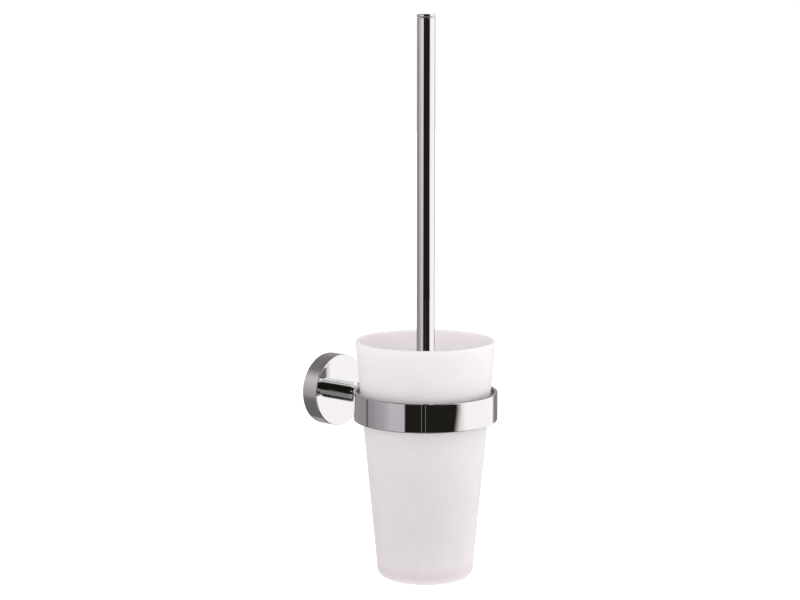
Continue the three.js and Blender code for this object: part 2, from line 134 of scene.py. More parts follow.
class RingSizes(bpy.types.PropertyGroup):
    wall: length("Ring wall", "Thickness of the band", 2.5)
    edge: length("Ring edge", "Rounding of the band's edges", 0.6)
    ledge: length("Ledge", "Thickness of the ledge under the liner", 1.6)
    ledge_clearance: length("Ledge clearance", "Gap between the ledge and the glass", 1.1)


class TumblerSizes(bpy.types.PropertyGroup):
    base_diameter: length("Base diameter", "Width at the bottom of the taper", 64)
    rim_wall: length("Rim wall", "Thickness of the glass at the rim", 3)
    base_wall: length("Base wall", "Thickness of the glass at the base", 4)
    floor: length("Floor", "Thickness of the glass floor", 10)
    dimple: length("Dimple", "Depth of the hollow under the base", 0.6)
    base_corner: length("Base corner", "Rounding under the base", 4)
    floor_corner: length("Floor corner", "Rounding inside, round the floor", 5)
    rim_edge: length("Rim edge", "Fire-polished rounding of the rim", 1.2)


class BrushSizes(bpy.types.PropertyGroup):
    tufts: IntProperty(name="Tufts", description="Tufts in one row", default=12, min=3, max=30)
    filaments: IntProperty(name="Filaments", description="Filaments in one tuft", default=30, min=3, max=80)
    filament: length("Filament", "Diameter of one nylon filament", 0.42)
    tuft_root: length("Tuft root", "Width of a tuft where it leaves the core", 2.6)
    tuft_tip: length("Tuft tip", "Width of a tuft at its tip", 7)
    handle_wall: length("Handle wall", "Wall of the handle's tube", 1)
    plug_fit: length("Plug fit", "Radial gap of the bush and the plug in the tube", 0.1)
    thread_pitch: length("Thread pitch", "Rise of the stud's thread in one turn", 1)
    handle_edge: length("Handle edge", "Rounding of the handle's end cap", 0.5)
    seam_edge: length("Seam edge", "Rounding on both sides of the end cap's seam", 0.5)


class Finishes(bpy.types.PropertyGroup):
    chrome: colour("Chrome", "Electroplated chrome", "#d4d4d5")
    glass: colour("Etched glass", "Body of the frosted tumbler", "#dfd5d7")
    # Painted shade: a darker glass colour that stands for the shade in the tumbler's thick foot.
    glass_foot_shade: colour("Glass foot shade", "Thick glass at the tumbler's base", "#c2bcbd")
    nylon: colour("Nylon", "Bristle filaments", "#f3f3f1")
    moulding: colour("Moulding", "White plastic of the brush core", "#efefed")
    liner: colour("Liner", "Milky plastic of the ring's liner", "#e3e6e6")
    steel: colour("Steel", "Stainless steel of the screws", "#b7b4b0")
    brass: colour("Brass", "Turned brass of the handle's bush", "#c6a25a")
    zinc: colour("Zinc", "Die-cast zinc of the wall bracket", "#a2a5a8")
    silicone: colour("Silicone", "Seal between the brush and its handle", "#c4c8ca")


class Studio(bpy.types.PropertyGroup):
    turn: degrees("Turn", "Direction that the camera looks in", -48.7)
    tilt: degrees("Tilt", "How far down the camera looks", 7.93)
    lens: FloatProperty(name="Lens", description="Focal length", default=76.5, unit="CAMERA")
    distance: length("Distance", "Camera to the tumbler's axis, level", 1118)
    sideways: length("Sideways", "Camera's shift to its left of the axis", 17)
    height: length("Height", "Camera above the tumbler's base", 342.5)
    floor_drop: length("Floor drop", "Floor below the tumbler's base", 340)


# ---- Materials -------------------------------------------------------------------------


def add_node(tree, kind, inputs=None, **settings):
    """Adds a node with its settings. An input, by name or by place, that is given another node's
    socket is linked to it, and any other is set to its value."""
    node = tree.nodes.new(kind)
    for name, value in settings.items():
        setattr(node, name, value)
    for name, value in (inputs or {}).items():
        if isinstance(value, bpy.types.NodeSocket):
            tree.links.new(value, node.inputs[name])
        else:
            node.inputs[name].default_value = value
    return node


def per_mm(size):
    """Texture scale that makes a pattern repeat every so many millimetres."""
    return 1 / (size * MM)


def new_material(name):
    """An empty material; gives its node tree and the object's own coordinates."""
    material = bpy.data.materials.new(name)
    material.use_nodes = True
    tree = material.node_tree
    tree.nodes.clear()
    place = add_node(tree, "ShaderNodeTexCoord").outputs["Object"]
    return material, tree, place


def finish_surface(tree, inputs):
    """Ends a material with one surface shader."""
    shader = add_node(tree, "ShaderNodeBsdfPrincipled", inputs)
    add_node(tree, "ShaderNodeOutputMaterial", {"Surface": shader.outputs["BSDF"]})


# The two colours and the result of a mix node, whose names its other sockets share.
FIRST_COLOUR, SECOND_COLOUR, MIXED_COLOUR = 6, 7, 2
NOISE_SPREAD = {"From Min": 0.3, "From Max": 0.7}


def darker(colour_value, share):
    """A darker share of a colour."""
    return [share * c for c in colour_value[:3]] + [1]


def mirror_chrome(finishes):
    """Bright chrome plate: a mirror, with the faint waviness that the buffing leaves."""
    material, tree, place = new_material("mirror_chrome")
    haze = add_node(tree, "ShaderNodeTexNoise", {"Vector": place, "Scale": per_mm(9), "Detail": 3})
    wave = add_node(tree, "ShaderNodeTexNoise", {"Vector": place, "Scale": per_mm(14), "Detail": 1})
    tint = add_node(tree, "ShaderNodeMix", {
        "Factor": haze.outputs["Fac"],
        FIRST_COLOUR: darker(finishes.chrome, 0.97),
        SECOND_COLOUR: finishes.chrome,
    }, data_type="RGBA")
    roughness = add_node(tree, "ShaderNodeMapRange", {
        "Value": haze.outputs["Fac"], **NOISE_SPREAD, "To Min": 0.008, "To Max": 0.02,
    })
    relief = add_node(tree, "ShaderNodeBump", {
        "Height": wave.outputs["Fac"], "Distance": 0.002 * MM, "Strength": 0.5,
    })
    finish_surface(tree, {
        "Base Color": tint.outputs[MIXED_COLOUR],
        "Metallic": 1,
        "Roughness": roughness.outputs["Result"],
        "Normal": relief.outputs["Normal"],
    })
    return material


def etched_glass(finishes):
    """Acid-etched soda-lime glass: milky and nearly opaque, with a soft silky sheen and a fine grain.
    Its grain is really about 0.05 mm, and is drawn at 0.5 mm so that it shows."""
    material, tree, place = new_material("etched_glass")
    cloud = add_node(tree, "ShaderNodeTexNoise", {"Vector": place, "Scale": per_mm(18), "Detail": 4})
    grain = add_node(tree, "ShaderNodeTexNoise", {"Vector": place, "Scale": per_mm(0.5), "Detail": 2})
    body = add_node(tree, "ShaderNodeMix", {
        "Factor": cloud.outputs["Fac"],
        FIRST_COLOUR: darker(finishes.glass, 0.9),
        SECOND_COLOUR: finishes.glass,
    }, data_type="RGBA")
    # Painted shade: the glass colour is darker at the thick foot, and this painted darkening fades out
    # above it.
    darkest, faded_out = TUMBLER_LOW.z + 3 * MM, TUMBLER_LOW.z + 16 * MM
    height = add_node(tree, "ShaderNodeSeparateXYZ", {"Vector": place})
    above_foot = add_node(tree, "ShaderNodeMapRange", {
        "Value": height.outputs["Z"], "From Min": darkest, "From Max": faded_out,
    }, interpolation_type="SMOOTHSTEP")
    tint = add_node(tree, "ShaderNodeMix", {
        "Factor": above_foot.outputs["Result"],
        FIRST_COLOUR: finishes.glass_foot_shade,
        SECOND_COLOUR: body.outputs[MIXED_COLOUR],
    }, data_type="RGBA")
    roughness = add_node(tree, "ShaderNodeMapRange", {
        "Value": grain.outputs["Fac"], **NOISE_SPREAD, "To Min": 0.42, "To Max": 0.55,
    })
    relief = add_node(tree, "ShaderNodeBump", {
        "Height": grain.outputs["Fac"], "Distance": 0.02 * MM, "Strength": 0.5,
    })
    finish_surface(tree, {
        "Base Color": tint.outputs[MIXED_COLOUR],
        "Roughness": roughness.outputs["Result"],
        "IOR": 1.52,
        "Subsurface Weight": 0.9,
        "Subsurface Radius": (18 * MM, 17.2 * MM, 17.4 * MM),
        "Subsurface Scale": 1.0,
        "Normal": relief.outputs["Normal"],
    })
    return material


def filament_nylon(finishes):
    """Extruded nylon filament: slightly see-through white with a soft gloss along each bristle."""
    material, tree, place = new_material("filament_nylon")
    streak = add_node(tree, "ShaderNodeTexNoise", {"Vector": place, "Scale": per_mm(1.2), "Detail": 2})
    tint = add_node(tree, "ShaderNodeMix", {
        "Factor": streak.outputs["Fac"],
        FIRST_COLOUR: darker(finishes.nylon, 0.9),
        SECOND_COLOUR: finishes.nylon,
    }, data_type="RGBA")
    roughness = add_node(tree, "ShaderNodeMapRange", {
        "Value": streak.outputs["Fac"], **NOISE_SPREAD, "To Min": 0.32, "To Max": 0.45,
    })
    finish_surface(tree, {
        "Base Color": tint.outputs[MIXED_COLOUR],
        "Roughness": roughness.outputs["Result"],
        "IOR": 1.53,
        "Subsurface Weight": 0.15,
        "Subsurface Radius": (1.5 * MM, 1.5 * MM, 1.5 * MM),
        "Subsurface Scale": 1.0,
    })
    return material


def moulded_plastic(name, base, grain_size, smoothest, roughest, depth, clear):
    """Injection-moulded plastic: an even colour with the fine orange-peel of the mould. The size
    and the depth of its grain are in millimetres, and clear is the share of light that it lets in."""
    material, tree, place = new_material(name)
    grain = add_node(tree, "ShaderNodeTexNoise", {
        "Vector": place, "Scale": per_mm(grain_size), "Detail": 3,
    })
    patch = add_node(tree, "ShaderNodeTexNoise", {"Vector": place, "Scale": per_mm(12), "Detail": 2})
    tint = add_node(tree, "ShaderNodeMix", {
        "Factor": patch.outputs["Fac"],
        FIRST_COLOUR: darker(base, 0.95),
        SECOND_COLOUR: base,
    }, data_type="RGBA")
    roughness = add_node(tree, "ShaderNodeMapRange", {
        "Value": grain.outputs["Fac"], **NOISE_SPREAD, "To Min": smoothest, "To Max": roughest,
    })
    relief = add_node(tree, "ShaderNodeBump", {
        "Height": grain.outputs["Fac"], "Distance": depth * MM, "Strength": 0.6,
    })
    finish_surface(tree, {
        "Base Color": tint.outputs[MIXED_COLOUR],
        "Roughness": roughness.outputs["Result"],
        "IOR": 1.49,
        "Subsurface Weight": clear,
        "Subsurface Radius": (3 * MM, 3 * MM, 3 * MM),
        "Subsurface Scale": 1.0,
        "Normal": relief.outputs["Normal"],
    })
    return material


def turned_metal(name, base, along, smoothest, roughest):
    """Lathe-turned metal: fine tool rings, which stretch its highlights. They are really about
    0.08 mm apart, and are drawn 2.2 mm apart so that they show."""
    material, tree, place = new_material(name)
    # A wave texture at a scale of 1 has twenty radians to the metre.
    rings = add_node(tree, "ShaderNodeTexWave", {
        "Vector": place,
        "Scale": 2 * math.pi * per_mm(2.2) / 20,
        "Distortion": 0.6,
        "Detail": 2.0,
        "Detail Scale": 1.5,
    }, wave_type="BANDS", bands_direction=along)
    patch = add_node(tree, "ShaderNodeTexNoise", {"Vector": place, "Scale": per_mm(4), "Detail": 3})
    tint = add_node(tree, "ShaderNodeMix", {
        "Factor": patch.outputs["Fac"],
        FIRST_COLOUR: darker(base, 0.86),
        SECOND_COLOUR: base,
    }, data_type="RGBA")
    roughness = add_node(tree, "ShaderNodeMapRange", {
        "Value": patch.outputs["Fac"], **NOISE_SPREAD, "To Min": smoothest, "To Max": roughest,
    })
    relief = add_node(tree, "ShaderNodeBump", {
        "Height": rings.outputs["Fac"], "Distance": 0.006 * MM, "Strength": 0.5,
    })
    finish_surface(tree, {
        "Base Color": tint.outputs[MIXED_COLOUR],
        "Metallic": 1,
        "Roughness": roughness.outputs["Result"],
        "Normal": relief.outputs["Normal"],
    })
    return material


def tumbled_zinc(finishes):
    """Tumbled die-cast zinc: dull grey metal with a fine shot grain and darker patches."""
    material, tree, place = new_material("tumbled_zinc")
    grain = add_node(tree, "ShaderNodeTexNoise", {
        "Vector": place, "Scale": per_mm(0.6), "Detail": 4, "Roughness": 0.6,
    })
    patch = add_node(tree, "ShaderNodeTexNoise", {"Vector": place, "Scale": per_mm(7), "Detail": 3})
    tint = add_node(tree, "ShaderNodeMix", {
        "Factor": patch.outputs["Fac"],
        FIRST_COLOUR: darker(finishes.zinc, 0.8),
        SECOND_COLOUR: finishes.zinc,
    }, data_type="RGBA")
    roughness = add_node(tree, "ShaderNodeMapRange", {
        "Value": grain.outputs["Fac"], **NOISE_SPREAD, "To Min": 0.42, "To Max": 0.6,
    })
    relief = add_node(tree, "ShaderNodeBump", {
        "Height": grain.outputs["Fac"], "Distance": 0.03 * MM, "Strength": 0.6,
    })
    finish_surface(tree, {
        "Base Color": tint.outputs[MIXED_COLOUR],
        "Metallic": 1,
        "Roughness": roughness.outputs["Result"],
        "Normal": relief.outputs["Normal"],
    })
    return material


def silicone_rubber(finishes):
    """Cured silicone: matt, slightly see-through, with the mould's satin texture."""
    return moulded_plastic("silicone_rubber", finishes.silicone, 0.5, 0.5, 0.65, 0.015, 0.2)


def white_moulding(finishes):
    """Moulded white polypropylene: an even satin white that lets in a little light."""
    return moulded_plastic("white_moulding", finishes.moulding, 0.8, 0.28, 0.42, 0.012, 0.1)


def milky_liner(finishes):
    """Moulded natural polyethylene: milky, smoother and clearer than the white moulding."""
    return moulded_plastic("milky_liner", finishes.liner, 1.0, 0.22, 0.34, 0.01, 0.4)


def turned_brass(finishes):
    """Free-cutting brass from the lathe: warm yellow with a soft shine."""
    return turned_metal("turned_brass", finishes.brass, "Z", 0.22, 0.36)


def turned_steel(finishes):
    """Stainless steel screws and stud: a neutral grey with a soft shine."""
    return turned_metal("turned_steel", finishes.steel, "Y", 0.24, 0.38)


SLOT_FINISHES = {
    "chrome_plate": mirror_chrome,
    "frosted_glass": etched_glass,
    "bristle_nylon": filament_nylon,
    "cast_zinc": tumbled_zinc,
    "silicone": silicone_rubber,
    "brass": turned_brass,
    "stainless_steel": turned_steel,
    "white_plastic": white_moulding,
    "clear_plastic": milky_liner,
}
finishes_made = {}


def finish_of(slot):
    """The material for a slot, made once. The frame has plain materials of its own, so what was
    made is kept here and not looked up by name among them."""
    if slot not in finishes_made:
        finishes_made[slot] = SLOT_FINISHES[slot](bpy.context.scene.brush_holder_finishes)
    return finishes_made[slot]


# ---- Mesh helpers ----------------------------------------------------------------------


def arc(radius_at, height_at, size, start, stop, steps=6):
    """Points of a circular arc in a profile, from one angle to another in degrees."""
    points = []
    for i in range(steps + 1):
        angle = math.radians(start + (stop - start) * i / steps)
        points.append((radius_at + size * math.cos(angle), height_at + size * math.sin(angle)))
    return points


def thread_rows(core, crest, pitch, low, high):
    """Rows of a helical thread between two heights; it runs out to the core at both ends."""
    outline = ((core, 0.0), (core, 0.12), (crest, 0.5), (crest, 0.62))
    turns = math.ceil((high - low) / pitch) + 1
    rows = []
    for i in range(-1, turns):
        for radius, share in outline:
            rows.append((radius, low + (i + share) * pitch, core, pitch, low, high))
    return rows


def row_point(angle, radius, height, core=None, pitch=0.0, low=0.0, high=0.0):
    """Radius and height of a row at an angle; a thread row climbs by one pitch in a turn."""
    if core is None:
        return radius, height
    at = min(max(height + pitch * angle / (2 * math.pi), low), high)
    share = min(1, (at - low) / pitch, (high - at) / pitch)
    return core + (radius - core) * share, at


def turned(name, rows, axis, sides=96, wall_side=False):
    """A mesh turned about an upright line, or about a line square to the wall.
    The rows start and end on the line, or are a loop round a hole, which this closes."""
    if rows[0][0] > 0 or rows[-1][0] > 0:
        rows = [*rows, rows[0]]
    points = []
    for row in rows:
        for i in range(sides + 1):
            angle = 2 * math.pi * i / sides
            radius, height = row_point(angle, *row)
            across, up = radius * math.cos(angle), radius * math.sin(angle)
            points.append(axis + Vector((across, height, up) if wall_side else (across, up, height)))
    faces = []
    for i in range(len(rows) - 1):
        for j in range(sides):
            first = i * (sides + 1) + j
            second = first + sides + 1
            faces.append((first, first + 1, second + 1, second))
    return mesh_object(name, points, faces)


def mesh_object(name, points, faces, sharp_angle=32):
    """A mesh, merged, turned outwards and smooth between its sharp edges."""
    mesh = bpy.data.meshes.new(name)
    mesh.from_pydata([tuple(p) for p in points], [], faces)
    shape = bmesh.new()
    shape.from_mesh(mesh)
    bmesh.ops.remove_doubles(shape, verts=shape.verts, dist=1e-6)
    bmesh.ops.dissolve_degenerate(shape, dist=1e-7, edges=shape.edges)
    bmesh.ops.recalc_face_normals(shape, faces=shape.faces)
    shape.to_mesh(mesh)
    shape.free()
    smooth(mesh, sharp_angle)
    made = bpy.data.objects.new(name, mesh)
    bpy.context.scene.collection.objects.link(made)
    return made


def smooth(mesh, sharp_angle=32):
    mesh.polygons.foreach_set("use_smooth", [True] * len(mesh.polygons))
    mesh.set_sharp_from_angle(angle=math.radians(sharp_angle))


def apply_modifiers(made):
    """Turns the modifiers' result into the object's own mesh."""
    graph = bpy.context.evaluated_depsgraph_get()
    result = bpy.data.meshes.new_from_object(made.evaluated_get(graph), depsgraph=graph)
    old = made.data
    made.modifiers.clear()
    made.data = result
    result.name = old.name + "_mesh"
    bpy.data.meshes.remove(old)


def cut(made, *tools):
    """Cuts the tools out of a piece and removes them."""
    for tool in tools:
        boolean = made.modifiers.new("cut", "BOOLEAN")
        boolean.operation = "DIFFERENCE"
        boolean.solver = "EXACT"
        boolean.object = tool
    apply_modifiers(made)
    for tool in tools:
        bpy.data.objects.remove(tool)
    smooth(made.data)


def even_shading(made):
    """Lets the large faces set the shading, so that a mirror face stays flat up to its edge."""
    weighted = made.modifiers.new("even_shading", "WEIGHTED_NORMAL")
    weighted.keep_sharp = True
    apply_modifiers(made)


def direction(turn, rise):
    """The direction that is turned from +X round the upright axis, and then raised."""
    level = math.cos(rise)
    return Vector((level * math.cos(turn), level * math.sin(turn), math.sin(rise)))


def square_to(line):
    """Two directions square to a line and to each other."""
    along = line.normalized()
    side = along.orthogonal().normalized()
    return side, along.cross(side)


def prism(name, sides, radius, start, stop):
    """A regular bar between two points, for cutting holes."""
    side, other = square_to(stop - start)
    points = []
    for end in (start, stop):
        for i in range(sides):
            turn = 2 * math.pi * i / sides
            points.append(end + radius * (math.cos(turn) * side + math.sin(turn) * other))
    faces = [tuple(range(sides)), tuple(range(sides, 2 * sides))]
    for i in range(sides):
        j = (i + 1) % sides
        faces.append((i, j, sides + j, sides + i))
    return mesh_object(name, points, faces)


def block(name, centre, size, turn=0.0):
    """A rectangular bar for cutting slots, turned about a line square to the wall."""
    points = []
    for x in (-0.5, 0.5):
        for y in (-0.5, 0.5):
            for z in (-0.5, 0.5):
                corner = Vector((x * size[0], y * size[1], z * size[2]))
                points.append(centre + Matrix.Rotation(turn, 3, "Y") @ corner)
    faces = [(0, 1, 3, 2), (4, 6, 7, 5), (0, 4, 5, 1), (2, 3, 7, 6), (0, 2, 6, 4), (1, 5, 7, 3)]
    return mesh_object(name, points, faces)


def place_piece(made, body, slot, node):
    """Gives a piece its finish and the body that it moves with, and hides the CAD node that it stands for.
    """
    made.data.materials.clear()
    made.data.materials.append(finish_of(slot))
    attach(made, body)
    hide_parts(node)


# ---- Pieces ----------------------------------------------------------------------------

WALL_SCREWS = ("wall_screw_upper", "wall_screw_lower")


class BRUSHHOLDER_OT_wall_screws(bpy.types.Operator):
    """Two countersunk wall screws with a cross recess"""

    bl_idname = "brushholder.wall_screws"
    bl_label = "Wall screws"

    def execute(self, context):
        for node in WALL_SCREWS:
            self.screw(node, context.scene.wall_side_sizes)
        return {"FINISHED"}

    def screw(self, node, sizes):
        head, front, tip = round_size(node, "y")
        axis = Vector((0, 0, middle_of(node, "z")))
        crest = head / 2
        core = crest - 0.6 * MM
        neck = core + 0.2 * MM
        rim, runout, point = 0.3 * MM, 0.4 * MM, 4 * MM
        under_head = front + sizes.screw_head_depth
        thread_start = under_head + 1.5 * MM
        made = turned(f"{node}_steel", [
            (0, front),
            *arc(head - rim, front + rim, rim, -90, 0, 3),
            (neck, under_head),
            (neck, thread_start - runout),
            (core, thread_start),
            *thread_rows(core, crest, sizes.screw_pitch, thread_start, tip - point),
            (core * 0.75, tip - point / 2),
            (0, tip),
        ], axis, sides=40, wall_side=True)
        recess = (0.8 * MM, 3.2 * MM, 3.6 * MM)
        mouth = axis + Vector((0, front, 0))
        cut(made, *(block("blade", mouth, recess, turn) for turn in (0, math.pi / 2)))
        place_piece(made, "holder", "stainless_steel", node)


class BRUSHHOLDER_OT_bracket(bpy.types.Operator):
    """Die-cast bracket on the wall, inside the flange"""

    bl_idname = "brushholder.bracket"
    bl_label = "Wall bracket"

    def execute(self, context):
        sizes = context.scene.wall_side_sizes
        radius, front, _ = round_size("wall_bracket", "y")
        groove_y = middle_of("flange_set_screw", "y")
        edge = 0.3 * MM
        rim = radius - sizes.rim_width
        pad, pocket = sizes.pad_diameter / 2, sizes.pocket_diameter / 2
        made = turned("wall_bracket_casting", [
            (0, 0),
            (pad, 0),
            (pad, -sizes.relief_depth),
            (rim, -sizes.relief_depth),
            (rim, 0),
            *arc(radius - edge, -edge, edge, 90, 0, 3),
            (radius, groove_y + sizes.groove_depth),
            (radius - sizes.groove_depth, groove_y),
            (radius, groove_y - sizes.groove_depth),
            *arc(radius - edge, front + edge, edge, 0, -90, 3),
            *arc(pocket + edge, front + edge, edge, -90, -180, 3),
            (pocket, front + sizes.pocket_depth),
            (0, front + sizes.pocket_depth),
        ], WALL_AXIS, wall_side=True)
        cut(made, *(self.hole(node, front, sizes) for node in WALL_SCREWS))
        place_piece(made, "holder", "cast_zinc", "wall_bracket")
        return {"FINISHED"}

    def hole(self, node, front, sizes):
        """A countersunk hole, a little larger than the screw."""
        screw_head = box_radius(node)
        head, shank = screw_head + sizes.cut_gap, screw_head / 2 + sizes.cut_gap
        past = 1 * MM
        return turned("hole", [
            (0, past),
            (shank, past),
            (shank, front + sizes.screw_head_depth + sizes.cut_gap),
            (head, front + sizes.cut_gap),
            (head, front - past),
            (0, front - past),
        ], Vector((0, 0, middle_of(node, "z"))), sides=48, wall_side=True)


class BRUSHHOLDER_OT_flange(bpy.types.Operator):
    """Polished cup flange that hides the bracket"""

    bl_idname = "brushholder.flange"
    bl_label = "Flange"

    def execute(self, context):
        sizes = context.scene.wall_side_sizes
        radius, front, back = round_size("flange_cover", "y")
        arm_hole = 3.2 * MM
        bore = radius - sizes.flange_wall
        inner = front + sizes.flange_face
        edge, fillet, back_edge = sizes.flange_edge, 0.8 * MM, 0.3 * MM
        made = turned("flange_cup", [
            (arm_hole, front),
            *arc(radius - edge, front + edge, edge, -90, 0),
            *arc(radius - back_edge, back - back_edge, back_edge, 0, 90, 3),
            (bore + back_edge, back),
            (bore, back - back_edge),
            *arc(bore - fillet, inner + fillet, fillet, 0, -90, 4),
            (arm_hole, inner),
        ], WALL_AXIS, sides=160, wall_side=True)
        self.tap_hole(made, radius)
        even_shading(made)
        place_piece(made, "holder", "chrome_plate", "flange_cover")
        return {"FINISHED"}

    def tap_hole(self, made, radius):
        """The set screw's hole, up through the bottom of the flange's wall."""
        tapped, depth, past = 2.15 * MM, 4 * MM, 1 * MM
        bottom = Vector((0, middle_of("flange_set_screw", "y"), -radius))
        cut(made, prism("tap", 32, tapped, bottom - past * UP, bottom + depth * UP))


class BRUSHHOLDER_OT_machine_screws(bpy.types.Operator):
    """Set screw, arm screw with its spring washer, and ring screw"""

    bl_idname = "brushholder.machine_screws"
    bl_label = "Machine screws"

    def execute(self, context):
        self.set_screw()
        self.arm_screw()
        self.spring_washer()
        self.ring_screw()
        return {"FINISHED"}

    def hex_socket(self, made, face, inward, across_flats, depth):
        """Cuts a socket for a hexagon key, from just outside the face."""
        mouth = face - 0.1 * MM * inward
        cut(made, prism("key", 6, across_flats / math.sqrt(3), mouth, mouth + depth * inward))

    def set_screw(self):
        radius, low, high = round_size("flange_set_screw")
        axis = Vector((0, middle_of("flange_set_screw", "y"), 0))
        pitch, edge = 0.7 * MM, 0.1 * MM
        core = radius - 0.35 * MM
        made = turned("set_screw", [
            (0, high),
            (core, high - core),
            *reversed(thread_rows(core, radius, pitch, low + 2 * edge, high - core)),
            (core - edge, low),
            (0, low),
        ], axis, sides=32)
        self.hex_socket(made, axis + low * UP, UP, 2 * MM, 1.6 * MM)
        place_piece(made, "holder", "stainless_steel", "flange_set_screw")

    def arm_screw(self):
        head, tip, top = round_size("arm_screw", "y")
        edge, shank, pitch = 0.4 * MM, 3 * MM, 1 * MM
        core = shank - pitch / 2
        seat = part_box("arm_spring_washer")[1].y + 0.1 * MM
        neck = seat - 2.2 * MM
        thread_start = neck - pitch / 2
        made = turned("arm_cap_screw", [
            (0, top),
            (head - edge, top),
            *arc(head - edge, top - edge, edge, 90, 0, 3),
            (head, seat),
            (shank, seat),
            (shank, neck),
            (core, thread_start),
            *reversed(thread_rows(core, shank, pitch, tip + pitch / 2, thread_start)),
            (core - edge, tip),
            (0, tip),
        ], WALL_AXIS, sides=48, wall_side=True)
        self.hex_socket(made, top * TO_WALL, -TO_WALL, 4 * MM, 3 * MM)
        place_piece(made, "holder", "stainless_steel", "arm_screw")

    def spring_washer(self):
        outer, low, high = round_size("arm_spring_washer", "y")
        edge, bore = 0.15 * MM, 3.2 * MM
        made = turned("arm_washer", [
            (bore, low),
            *arc(outer - edge, low + edge, edge, -90, 0, 2),
            *arc(outer - edge, high - edge, edge, 0, 90, 2),
            (bore, high),
        ], WALL_AXIS, sides=64, wall_side=True)
        middle = Vector((0, (low + high) / 2, 0.8 * outer))
        cut(made, block("split", middle, (1.2 * MM, 4 * MM, outer)))
        place_piece(made, "holder", "stainless_steel", "arm_spring_washer")

    def ring_screw(self):
        head, face, tip = round_size("ring_screw", "y")
        shank, pitch, edge, runout = 2.5 * MM, 0.8 * MM, 0.15 * MM, 0.4 * MM
        core = shank - pitch / 2
        under_head = face + RING_SCREW_HEAD
        neck = under_head + 1.5 * MM
        made = turned("ring_countersunk_screw", [
            (0, face),
            (head - edge, face),
            (head, face + edge),
            (shank, under_head),
            (shank, neck),
            (core, neck + runout),
            *thread_rows(core, shank, pitch, neck + runout, tip - 0.5 * MM),
            (core - runout, tip),
            (0, tip),
        ], WALL_AXIS, sides=40, wall_side=True)
        self.hex_socket(made, face * TO_WALL, TO_WALL, 3 * MM, 2.2 * MM)
        place_piece(made, "holder", "stainless_steel", "ring_screw")


class BRUSHHOLDER_OT_arm(bpy.types.Operator):
    """Round arm from the flange, and the collar that sits on the ring"""

    bl_idname = "brushholder.arm"
    bl_label = "Arm and collar"

    def execute(self, context):
        sizes = context.scene.wall_side_sizes
        self.bar(sizes)
        self.collar(sizes)
        return {"FINISHED"}

    def bar(self, sizes):
        """Tapped from both ends: wide for the arm screw, and narrow for the ring screw."""
        radius, front, back = round_size("arm", "y")
        wide_tap, narrow_tap = 3.15 * MM, 2.65 * MM
        wide_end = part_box("arm_screw")[0].y - sizes.cut_gap
        chamfer = sizes.arm_edge
        made = turned("arm_bar", [
            (wide_tap, back),
            (radius, back),
            (radius, front + chamfer),
            (radius - chamfer, front),
            (narrow_tap, front),
            (narrow_tap, wide_end),
            (wide_tap, wide_end),
        ], WALL_AXIS, sides=128, wall_side=True)
        even_shading(made)
        place_piece(made, "holder", "chrome_plate", "arm")

    def collar(self, sizes):
        """Its far end is hollowed to the ring's round outside."""
        radius, far, near = round_size("ring_collar", "y")
        edge = 0.3 * MM
        made = turned("collar_sleeve", [
            (RING_SCREW_HOLE, near),
            (radius - edge, near),
            (radius, near - edge),
            (radius, far),
            (RING_SCREW_HOLE, far),
        ], WALL_AXIS, sides=128, wall_side=True)
        saddle = box_radius("ring_band") + sizes.cut_gap
        for vertex in made.data.vertices:
            if vertex.co.y < far + 0.01 * MM:
                vertex.co.y = AXIS_Y + math.sqrt(saddle ** 2 - vertex.co.x ** 2)
        smooth(made.data)
        even_shading(made)
        place_piece(made, "holder", "chrome_plate", "ring_collar")


class BRUSHHOLDER_OT_ring(bpy.types.Operator):
    """Flat band ring and the milky liner that carries the tumbler"""

    bl_idname = "brushholder.ring"
    bl_label = "Ring and liner"

    def execute(self, context):
        gap = context.scene.wall_side_sizes.cut_gap
        self.band(context, gap)
        self.liner(context, gap)
        return {"FINISHED"}

    def band(self, context, gap):
        sizes = context.scene.ring_sizes
        outer, bottom, top = round_size("ring_band")
        bore, edge = outer - sizes.wall, sizes.edge
        ledge_top = bottom + sizes.ledge
        ledge_bore = glass_outside(context, ledge_top) + sizes.ledge_clearance
        made = turned("ring_hoop", [
            (ledge_bore, bottom),
            *arc(outer - edge, bottom + edge, edge, -90, 0),
            *arc(outer - edge, top - edge, edge, 0, 90),
            *arc(bore + edge, top - edge, edge, 90, 180),
            (bore, ledge_top),
            (ledge_bore, ledge_top),
        ], TUMBLER_AXIS, sides=240)
        cut(made, self.screw_hole(gap))
        even_shading(made)
        place_piece(made, "holder", "chrome_plate", "ring_band")

    def screw_hole(self, gap):
        head, face, _ = round_size("ring_screw", "y")
        inside, outside = face - 3 * MM, face + 6 * MM
        return turned("hole", [
            (0, inside),
            (head + gap, inside),
            (head + gap, face),
            (RING_SCREW_HOLE, face + RING_SCREW_HEAD),
            (RING_SCREW_HOLE, outside),
            (0, outside),
        ], WALL_AXIS, sides=64, wall_side=True)

    def liner(self, context, gap):
        outer, low, high = round_size("ring_liner")
        edge = 0.5 * MM
        mouth = glass_outside(context, high) + gap
        made = turned("liner_sleeve", [
            (glass_outside(context, low) + gap, low),
            (outer - edge, low),
            (outer, low + edge),
            *arc(outer - edge, high - edge, edge, 0, 90, 4),
            (mouth + edge, high),
            (mouth, high - edge),
        ], TUMBLER_AXIS, sides=160)
        even_shading(made)
        place_piece(made, "holder", "clear_plastic", "ring_liner")


def up_the_taper(height):
    """How far up the tumbler a height is, from 0 at its base to 1 at its rim."""
    return (height - TUMBLER_LOW.z) / (TUMBLER_HIGH.z - TUMBLER_LOW.z)


def glass_outside(context, height):
    """Radius of the tumbler's outside at a height in the frame."""
    base = context.scene.tumbler_sizes.base_diameter / 2
    return base + (box_radius("glass_tumbler") - base) * up_the_taper(height)


def glass_inside(context, height):
    sizes = context.scene.tumbler_sizes
    wall = sizes.base_wall + (sizes.rim_wall - sizes.base_wall) * up_the_taper(height)
    return glass_outside(context, height) - wall


